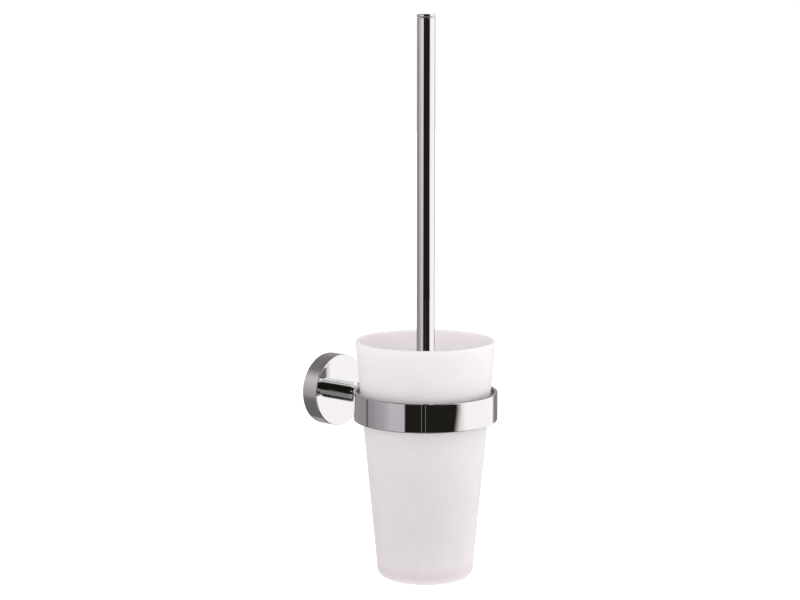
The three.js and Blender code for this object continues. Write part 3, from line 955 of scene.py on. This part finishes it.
class BRUSHHOLDER_OT_tumbler(bpy.types.Operator):
    """Tapered frosted tumbler with a thick floor"""

    bl_idname = "brushholder.tumbler"
    bl_label = "Tumbler"

    def execute(self, context):
        sizes = context.scene.tumbler_sizes
        base, rim = TUMBLER_LOW.z, TUMBLER_HIGH.z
        corner, inner_corner, edge = sizes.base_corner, sizes.floor_corner, sizes.rim_edge
        floor = base + sizes.floor
        outer = glass_outside(context, base + corner) - corner
        inner = glass_inside(context, floor + inner_corner) - inner_corner
        rim_out = glass_outside(context, rim - edge) - edge
        rim_in = glass_inside(context, rim - edge) + edge
        made = turned("frosted_tumbler", [
            (0, base + sizes.dimple),
            (0.6 * outer, base + sizes.dimple),
            (0.85 * outer, base + sizes.dimple / 2),
            (outer, base),
            *arc(outer, base + corner, corner, -80, 0, 8),
            *arc(rim_out, rim - edge, edge, 0, 90),
            *arc(rim_in, rim - edge, edge, 90, 180),
            *arc(inner, floor + inner_corner, inner_corner, 0, -90, 8),
            (0, floor),
        ], TUMBLER_AXIS, sides=160)
        even_shading(made)
        place_piece(made, "tumbler", "frosted_glass", "glass_tumbler")
        # The chrome mirrors the studio, and not the glass that stands in it.
        made.visible_glossy = False
        return {"FINISHED"}


class BRUSHHOLDER_OT_brush_core(bpy.types.Operator):
    """Moulded core with its drip shoulder, the threaded stud and the seal"""

    bl_idname = "brushholder.brush_core"
    bl_label = "Brush core"

    def execute(self, context):
        self.core()
        self.stud(context.scene.brush_sizes)
        self.seal()
        return {"FINISHED"}

    def core(self):
        """From its foot up: a round-ended body, a cove, the shoulder, and the neck round the stud."""
        shoulder, low, high = round_size("brush_core")
        body, neck, bore = 7 * MM, 7.5 * MM, 3.15 * MM
        foot, cove, fillet = 4 * MM, 2 * MM, 4 * MM
        lip, neck_edge, bore_edge = 0.7 * MM, 1 * MM, 0.4 * MM
        step, bottom = high - 14 * MM, high - 16.1 * MM
        made = turned("brush_core_moulding", [
            (0, low),
            *arc(body - foot, low + foot, foot, -90, 0, 8),
            (body, step - cove),
            *arc(body + cove, step - cove, cove, 180, 90, 5),
            *arc(shoulder - lip, step + lip, lip, -90, 60),
            *arc(neck + fillet, step + 7 * MM, fillet, -100, -180),
            *arc(neck - neck_edge, high - neck_edge, neck_edge, 0, 90, 4),
            (bore + bore_edge, high),
            (bore, high - bore_edge),
            (bore, bottom),
            (0, bottom),
        ], TUMBLER_AXIS)
        even_shading(made)
        place_piece(made, "brush_head", "white_plastic", "brush_core")

    def stud(self, sizes):
        radius, low, high = round_size("brush_stud")
        core = radius - sizes.thread_pitch / 2
        made = turned("brush_stud_steel", [
            (0, low),
            (core, low),
            *thread_rows(core, radius, sizes.thread_pitch, low, high - 0.5 * MM),
            (core - 0.4 * MM, high),
            (0, high),
        ], TUMBLER_AXIS, sides=40)
        place_piece(made, "brush_head", "stainless_steel", "brush_stud")

    def seal(self):
        outer, low, high = round_size("seal_washer")
        bore, edge = 3.3 * MM, 0.35 * MM
        made = turned("seal_ring", [
            *arc(bore + edge, low + edge, edge, 180, 270, 4),
            *arc(outer - edge, low + edge, edge, -90, 0, 4),
            *arc(outer - edge, high - edge, edge, 0, 90, 4),
            *arc(bore + edge, high - edge, edge, 90, 180, 4),
        ], TUMBLER_AXIS, sides=80)
        even_shading(made)
        place_piece(made, "seal", "silicone", "seal_washer")


class BRUSHHOLDER_OT_bristles(bpy.types.Operator):
    """Rows of nylon tufts round the core, and the end tuft below it"""

    bl_idname = "brushholder.bristles"
    bl_label = "Bristles"

    def execute(self, context):
        sizes = context.scene.brush_sizes
        rows = sorted(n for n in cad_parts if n.startswith("bristle_row_"))
        for index, node in enumerate(rows):
            self.row(index, node, sizes)
        self.end_tuft(sizes)
        return {"FINISHED"}

    def row(self, index, node, sizes):
        """One row of tufts; every other row is turned by half a tuft."""
        draw = random.Random(100 + index)
        height = TUMBLER_AXIS + middle_of(node, "z") * UP
        root = 6.7 * MM
        reach = widest(node) - root
        points, faces = [], []
        for tuft in range(sizes.tufts):
            turn = 2 * math.pi * (tuft + 0.5 * (index % 2)) / sizes.tufts
            outward = Vector((math.cos(turn), math.sin(turn), 0))
            across = Vector((-math.sin(turn), math.cos(turn), 0))
            self.tuft(draw, sizes, height + root * outward, outward, across, reach, points, faces)
        made = mesh_object(f"tufts_{index + 1}", points, faces, 60)
        place_piece(made, "brush_head", "bristle_nylon", node)

    def end_tuft(self, sizes):
        """A middle tuft, and a ring of tufts that lean outwards round it."""
        draw = random.Random(99)
        _, low, high = round_size("bristle_tip")
        points, faces = [], []
        around, root_ring, lean = 6, 3.36 * MM, 0.42
        reach = high + 0.3 * MM - low
        for tuft in range(around + 1):
            turn = 2 * math.pi * tuft / around
            away = 1 if tuft else 0
            side = Vector((math.cos(turn), math.sin(turn), 0))
            start = TUMBLER_AXIS + away * root_ring * side + (high + 0.6 * MM) * UP
            outward = (away * lean * side - UP).normalized()
            across = side.cross(outward).normalized()
            self.tuft(draw, sizes, start, outward, across, reach, points, faces)
        made = mesh_object("tufts_end", points, faces, 60)
        place_piece(made, "brush_head", "bristle_nylon", "bristle_tip")

    def tuft(self, draw, sizes, start, outward, across, reach, points, faces):
        """Filaments that leave one hole side by side and fan out towards their tips."""
        over = outward.cross(across)
        golden = math.pi * (3 - math.sqrt(5))
        for i in range(sizes.filaments):
            away = math.sqrt((i + 0.5) / sizes.filaments)
            turn = golden * i + draw.uniform(-0.3, 0.3)
            aside = (math.cos(turn) * across + math.sin(turn) * over) * away
            root = start + aside * sizes.tuft_root / 2
            splay = aside * sizes.tuft_tip / 2 * draw.uniform(0.8, 1.2)
            tip = start + outward * reach * draw.uniform(0.955, 1.0) + splay
            bow = Vector([draw.uniform(-0.5, 0.5) * MM for _ in range(3)])
            self.filament(sizes.filament / 2, root, tip, bow, points, faces)

    def filament(self, radius, root, tip, bow, points, faces):
        """One round bristle with a rounded tip."""
        sides = 5
        side, other = square_to(tip - root)
        first = len(points)
        rings = ((0.0, 1.0), (0.35, 1.0), (0.7, 0.97), (0.975, 0.9), (1.0, 0.5))
        for share, width in rings:
            centre = root.lerp(tip, share) + bow * math.sin(math.pi * share)
            for k in range(sides):
                angle = 2 * math.pi * k / sides
                points.append(centre + radius * width * (math.cos(angle) * side + math.sin(angle) * other))
        for ring in range(len(rings) - 1):
            for k in range(sides):
                near = first + ring * sides
                far = near + sides
                after = (k + 1) % sides
                faces.append((near + k, near + after, far + after, far + k))
        faces.append(tuple(first + k for k in reversed(range(sides))))
        last = first + (len(rings) - 1) * sides
        faces.append(tuple(last + k for k in range(sides)))


class BRUSHHOLDER_OT_handle(bpy.types.Operator):
    """Chromed tube with its threaded bush, cap plug and end cap"""

    bl_idname = "brushholder.handle"
    bl_label = "Handle"

    def execute(self, context):
        sizes = context.scene.brush_sizes
        self.tube(sizes)
        self.bush(sizes)
        self.end_cap(sizes)
        self.cap_plug(sizes)
        return {"FINISHED"}

    def tube(self, sizes):
        radius, low, high = round_size("handle_tube")
        bore, edge, seam = radius - sizes.handle_wall, 0.2 * MM, sizes.seam_edge
        made = turned("handle_pipe", [
            (bore, low),
            *arc(radius - edge, low + edge, edge, -90, 0, 3),
            *arc(radius - seam, high - seam, seam, 0, 90, 4),
            (bore, high),
        ], TUMBLER_AXIS, sides=128)
        even_shading(made)
        place_piece(made, "handle", "chrome_plate", "handle_tube")

    def bush(self, sizes):
        """Its flange closes the tube, and its blind bore is threaded for the stud."""
        radius, low, high = round_size("handle_bush")
        plug = radius - sizes.handle_wall - sizes.plug_fit
        bore, root, lead_in = 3.15 * MM, 3.45 * MM, 0.3 * MM
        flange, depth, edge = 2 * MM, 14 * MM, 0.5 * MM
        thread_top = low + depth - sizes.thread_pitch
        made = turned("handle_bush_brass", [
            (bore, low),
            *arc(radius - edge, low + edge, edge, -90, 0, 4),
            (radius, low + flange),
            (plug, low + flange),
            (plug, high - edge),
            (plug - edge, high),
            (0, high),
            (0, low + depth),
            (bore, low + depth),
            *reversed(thread_rows(bore, root, sizes.thread_pitch, low + lead_in, thread_top)),
        ], TUMBLER_AXIS, sides=64)
        place_piece(made, "handle", "brass", "handle_bush")

    def end_cap(self, sizes):
        radius, low, high = round_size("handle_end_cap")
        edge, under, deep = sizes.handle_edge, sizes.seam_edge, 1 * MM
        bore = (radius - sizes.handle_wall) / 2 + 0.2 * MM
        made = turned("handle_cap_disc", [
            (bore, low),
            *arc(radius - under, low + under, under, -90, 0, 3),
            *arc(radius - edge, high - edge, edge, 0, 90),
            (0, high),
            (0, low + deep),
            (bore, low + deep),
        ], TUMBLER_AXIS, sides=128)
        even_shading(made)
        place_piece(made, "handle", "chrome_plate", "handle_end_cap")

    def cap_plug(self, sizes):
        """Grooved nylon plug in the tube, with a spigot that the end cap is pressed on."""
        _, low, high = round_size("handle_cap_plug")
        tube_bore = box_radius("handle_tube") - sizes.handle_wall
        tube_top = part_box("handle_tube")[1].z
        plug, spigot = tube_bore - sizes.plug_fit, tube_bore / 2
        edge, tip_edge = 0.5 * MM, 0.2 * MM
        first, apart, slope, width, deep = 2 * MM, 2.2 * MM, 0.3 * MM, 1.2 * MM, 0.4 * MM
        grooves = []
        for i in range(4):
            at = low + first + i * apart
            grooves += [(plug, at), (plug - deep, at + slope)]
            grooves += [(plug - deep, at + width - slope), (plug, at + width)]
        made = turned("handle_plug", [
            (0, low),
            (plug - edge, low),
            (plug, low + edge),
            *grooves,
            (plug, tube_top),
            (spigot, tube_top),
            (spigot, high - tip_edge),
            (spigot - tip_edge, high),
            (0, high),
        ], TUMBLER_AXIS, sides=64)
        place_piece(made, "handle", "white_plastic", "handle_cap_plug")


# ---- Studio ----------------------------------------------------------------------------

# Distances are in metres from the tumbler's axis. The room's wall goes all the way round, and its
# tone changes with the angle above the object's middle.
ROOM_RADIUS = 1.6
ROOM_TONES = (
    (-89, "#484644"), (-65, "#484644"), (-45, "#949290"), (-17, "#949290"), (-16, "#8c8888"),
    (20, "#8c8888"), (36, "#787474"), (60, "#5c5856"), (70, "#3c3a38"), (89, "#3c3a38"),
)
BLACK_FELT = "#1c1b17"
SOLID = (0, 0, 0, 0)

# The boards and cloths on stands that the chrome mirrors, in front of the room's wall. Each has
# its distance, how far in from its left, right, foot and top edges it thins out, its tones at its
# foot and its top, and its outline in rows: the angle above the object's middle, then the left and
# right edges, as angles from the camera round the object. The nearer of two boards hides the other.
BOARDS = {
    "white_board": (1.48, (10, 6, 0, 0), "#f6f2f2", "#ffffff", ((-15, 56, 137), (60, 56, 137))),
    "pale_board": (1.5, SOLID, "#dcd6d4", "#f6f4f2", ((-15, 30, 70), (60, 30, 70))),
    "side_board": (1.46, (16, 0, 8, 12), "#a49ca2", "#f6f2f4", ((-23, -72, -30), (36, -72, -30))),
    "side_cloth_pale": (1.48, (16, 0, 8, 16), "#8c868c", "#dcd8da", ((-23, -94, -56), (40, -94, -56))),
    "side_cloth": (1.5, (8, 0, 8, 16), "#7c767c", "#ccc8ca", ((-23, -112, -78), (40, -112, -78))),
    "brown_cloth": (1.5, (0, 0, 0, 8), "#787064", "#b0aca8", ((-15, 140, 165), (34, 140, 165))),
    "floor_cloth_left": (1.52, (8, 8, 0, 0), "#585654", "#6c6a68", ((-80, -150, -78), (-13, -150, -78))),
    "floor_sheet_right": (1.5, SOLID, "#d8d4d2", "#f2f0ee", ((-80, 95, 150), (-15, 95, 150))),
    "floor_cloth_front": (1.5, SOLID, "#4c4a48", "#5c5a58", ((-80, 35, 70), (-15, 35, 70))),
    "stand": (1.44, (1, 1, 0, 0), "#605a5c", "#605a5c", ((-15, -108, -102), (10, -108, -102))),
    "flag_left": (1.4, (2, 0, 0, 0), BLACK_FELT, BLACK_FELT, ((-14.5, -34, -7), (-4, -34, -7))),
    "flag_middle": (1.4, SOLID, BLACK_FELT, BLACK_FELT, ((-14.5, -6.5, -1), (-4, -6.5, -1))),
    "flag_right": (1.4, (0, 10, 0, 0), BLACK_FELT, BLACK_FELT, (
        (-14.5, -0.5, 48),
        (-11, -0.5, 58),
        (-4, -0.5, 54),
    )),
    "flag_top": (1.38, (2, 6, 0, 0), BLACK_FELT, BLACK_FELT, (
        (-5, -34, 54),
        (2, -34, 50),
        (45, -34, 50),
    )),
}


class BRUSHHOLDER_OT_studio(bpy.types.Operator):
    """Pale floor, room, boards on stands, soft light and the camera"""

    bl_idname = "brushholder.studio"
    bl_label = "Studio"

    def execute(self, context):
        studio = context.scene.brush_holder_studio
        context.scene.view_settings.view_transform = "Standard"
        self.world(context)
        self.floor(studio)
        self.surroundings(studio)
        self.softbox(studio)
        self.camera(context, studio)
        return {"FINISHED"}

    def world(self, context):
        """Even white light from all round."""
        world = bpy.data.worlds.new("white_room")
        world.use_nodes = True
        tree = world.node_tree
        tree.nodes.clear()
        light = add_node(tree, "ShaderNodeBackground", {"Color": (1, 1, 1, 1), "Strength": 1.02})
        add_node(tree, "ShaderNodeOutputWorld", {"Surface": light.outputs["Background"]})
        context.scene.world = world

    def floor(self, studio):
        """A wide pale board below the object."""
        reach, level = 12.0, TUMBLER_LOW.z - studio.floor_drop
        signs = ((-1, -1), (1, -1), (1, 1), (-1, 1))
        corners = [(x * reach, y * reach, level) for x, y in signs]
        made = mesh_object("studio_floor", corners, [(0, 1, 2, 3)])
        material, tree, place = new_material("painted_board")
        grain = add_node(tree, "ShaderNodeTexNoise", {"Vector": place, "Scale": per_mm(40), "Detail": 3})
        tint = add_node(tree, "ShaderNodeMix", {
            "Factor": grain.outputs["Fac"],
            FIRST_COLOUR: linear("#fafafa"),
            SECOND_COLOUR: linear("#ffffff"),
        }, data_type="RGBA")
        finish_surface(tree, {
            "Base Color": tint.outputs[MIXED_COLOUR],
            "Roughness": 0.9,
            "Specular IOR Level": 0.1,
            "Emission Color": (1, 1, 1, 1),
            "Emission Strength": 0.4,
        })
        made.data.materials.append(material)
        made.visible_glossy = False

    def surroundings(self, studio):
        """The room's wall and the boards in front of it, which only mirrors see."""
        cloth = self.cloth()
        tones = [linear(tone) for _, tone in ROOM_TONES]
        rows = [(rise, -180, 180) for rise, _ in ROOM_TONES]
        self.board(studio, cloth, "room_wall", ROOM_RADIUS, SOLID, tones, rows)
        for name, (distance, thins, foot, top, outline) in BOARDS.items():
            low, high = outline[0][0], outline[-1][0]
            foot, top = Vector(linear(foot)), Vector(linear(top))
            tones = [foot.lerp(top, (row[0] - low) / (high - low)) for row in outline]
            self.board(studio, cloth, name, distance, thins, tones, outline)

    def board(self, studio, cloth, name, distance, thins, tones, outline):
        """A curved board round the object, at an even distance, that glows with its tones. They are
        raised by what the chrome takes away, so that each tone is the one seen in the mirror."""
        columns = 72
        tones, outline = self.stepped(tones, outline)
        foot, top = outline[0][0], outline[-1][0]
        camera_side = studio.turn - math.pi / 2
        gain = 1 / bpy.context.scene.brush_holder_finishes.chrome[1]
        points, paint = [], []
        for (rise, left, right), tone in zip(outline, tones):
            upright = self.cover(rise - foot, thins[2]) * self.cover(top - rise, thins[3])
            for i in range(columns + 1):
                angle = left + (right - left) * i / columns
                across = self.cover(angle - left, thins[0]) * self.cover(right - angle, thins[1])
                outward = direction(camera_side + math.radians(angle), math.radians(rise))
                points.append(TUMBLER_AXIS + distance * outward)
                paint += [gain * c for c in tone[:3]] + [upright * across]
        faces = []
        for j in range(len(outline) - 1):
            for i in range(columns):
                first = j * (columns + 1) + i
                faces.append((first, first + 1, first + columns + 2, first + columns + 1))
        mesh = bpy.data.meshes.new(name)
        mesh.from_pydata(points, [], faces)
        mesh.color_attributes.new("tone", "FLOAT_COLOR", "POINT").data.foreach_set("color", paint)
        mesh.materials.append(cloth)
        made = bpy.data.objects.new(name, mesh)
        bpy.context.scene.collection.objects.link(made)
        made.visible_camera = False
        made.visible_diffuse = False
        made.visible_transmission = False
        made.visible_shadow = False

    def cover(self, inside, thin):
        """How solid a board is at a distance inside its edge, if it thins out towards that edge."""
        return min(1, inside / thin) if thin else 1

    def stepped(self, tones, outline, step=4):
        """More rows between those of an outline, so that a tall board stays curved upright too."""
        steps, rows = [list(tones[0])], [outline[0]]
        for i in range(len(outline) - 1):
            count = math.ceil((outline[i + 1][0] - outline[i][0]) / step)
            for k in range(1, count + 1):
                rows.append([a + (b - a) * k / count for a, b in zip(outline[i], outline[i + 1])])
                steps.append([a + (b - a) * k / count for a, b in zip(tones[i], tones[i + 1])])
        return steps, rows

    def cloth(self):
        """Lit cloth: an even glow with the board's own tone, sheer where the board thins out."""
        material, tree, _ = new_material("lit_cloth")
        tone = add_node(tree, "ShaderNodeVertexColor", layer_name="tone")
        glow = add_node(tree, "ShaderNodeEmission", {"Color": tone.outputs["Color"], "Strength": 1.0})
        clear = add_node(tree, "ShaderNodeBsdfTransparent")
        sheer = add_node(tree, "ShaderNodeMixShader", {
            0: tone.outputs["Alpha"],
            1: clear.outputs["BSDF"],
            2: glow.outputs["Emission"],
        })
        add_node(tree, "ShaderNodeOutputMaterial", {"Surface": sheer.outputs["Shader"]})
        return material

    def softbox(self, studio):
        """A large soft light to the camera's right, which shapes the white glass."""
        side, power = 1.2, 3.5
        away, raised, round_to = 1.3, 0.5, math.radians(75)
        light = bpy.data.lights.new("softbox", "AREA")
        light.shape = "RECTANGLE"
        light.size, light.size_y = side, side
        light.energy = power
        made = bpy.data.objects.new("softbox", light)
        bpy.context.scene.collection.objects.link(made)
        outward = direction(studio.turn - math.pi / 2 + round_to, 0)
        made.location = TUMBLER_AXIS + away * outward + raised * UP
        made.rotation_euler = (TUMBLER_AXIS - made.location).to_track_quat("-Z", "Y").to_euler()
        made.visible_camera = False
        made.visible_glossy = False

    def camera(self, context, studio):
        turn = Matrix.Rotation(studio.turn, 3, "Z")
        offset = Vector((-studio.sideways, -studio.distance, TUMBLER_LOW.z + studio.height))
        lens = bpy.data.cameras.new("camera")
        lens.lens = studio.lens
        lens.sensor_width = 36
        lens.clip_start, lens.clip_end = 0.05, 60
        made = bpy.data.objects.new("camera", lens)
        made.location = TUMBLER_AXIS + turn @ offset
        made.rotation_euler = (math.pi / 2 - studio.tilt, 0, studio.turn)
        bpy.context.scene.collection.objects.link(made)
        context.scene.camera = made


# ---- Add-on ----------------------------------------------------------------------------

PIECES = (
    BRUSHHOLDER_OT_wall_screws,
    BRUSHHOLDER_OT_bracket,
    BRUSHHOLDER_OT_flange,
    BRUSHHOLDER_OT_machine_screws,
    BRUSHHOLDER_OT_arm,
    BRUSHHOLDER_OT_ring,
    BRUSHHOLDER_OT_tumbler,
    BRUSHHOLDER_OT_brush_core,
    BRUSHHOLDER_OT_bristles,
    BRUSHHOLDER_OT_handle,
    BRUSHHOLDER_OT_studio,
)
SETTINGS = {
    "wall_side_sizes": WallSideSizes,
    "ring_sizes": RingSizes,
    "tumbler_sizes": TumblerSizes,
    "brush_sizes": BrushSizes,
    "brush_holder_finishes": Finishes,
    "brush_holder_studio": Studio,
}


class BRUSHHOLDER_PT_panel(bpy.types.Panel):
    """Lists the pieces and their sizes"""

    bl_idname = "BRUSHHOLDER_PT_panel"
    bl_label = "Brush Holder"
    bl_space_type = "VIEW_3D"
    bl_region_type = "UI"
    bl_category = "Brush Holder"

    def draw(self, context):
        layout = self.layout
        for piece in PIECES:
            layout.operator(piece.bl_idname)
        for name, group in SETTINGS.items():
            column = layout.column()
            for size in group.__annotations__:
                column.prop(getattr(context.scene, name), size)


def register():
    for name, group in SETTINGS.items():
        bpy.utils.register_class(group)
        setattr(bpy.types.Scene, name, PointerProperty(type=group))
    for piece in PIECES:
        bpy.utils.register_class(piece)
    bpy.utils.register_class(BRUSHHOLDER_PT_panel)


def unregister():
    bpy.utils.unregister_class(BRUSHHOLDER_PT_panel)
    for piece in reversed(PIECES):
        bpy.utils.unregister_class(piece)
    for name, group in reversed(SETTINGS.items()):
        delattr(bpy.types.Scene, name)
        bpy.utils.unregister_class(group)


def main():
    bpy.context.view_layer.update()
    register()
    for piece in PIECES:
        group, name = piece.bl_idname.split(".")
        getattr(getattr(bpy.ops, group), name)()
    bpy.context.view_layer.update()


if __name__ == "__main__":
    main()
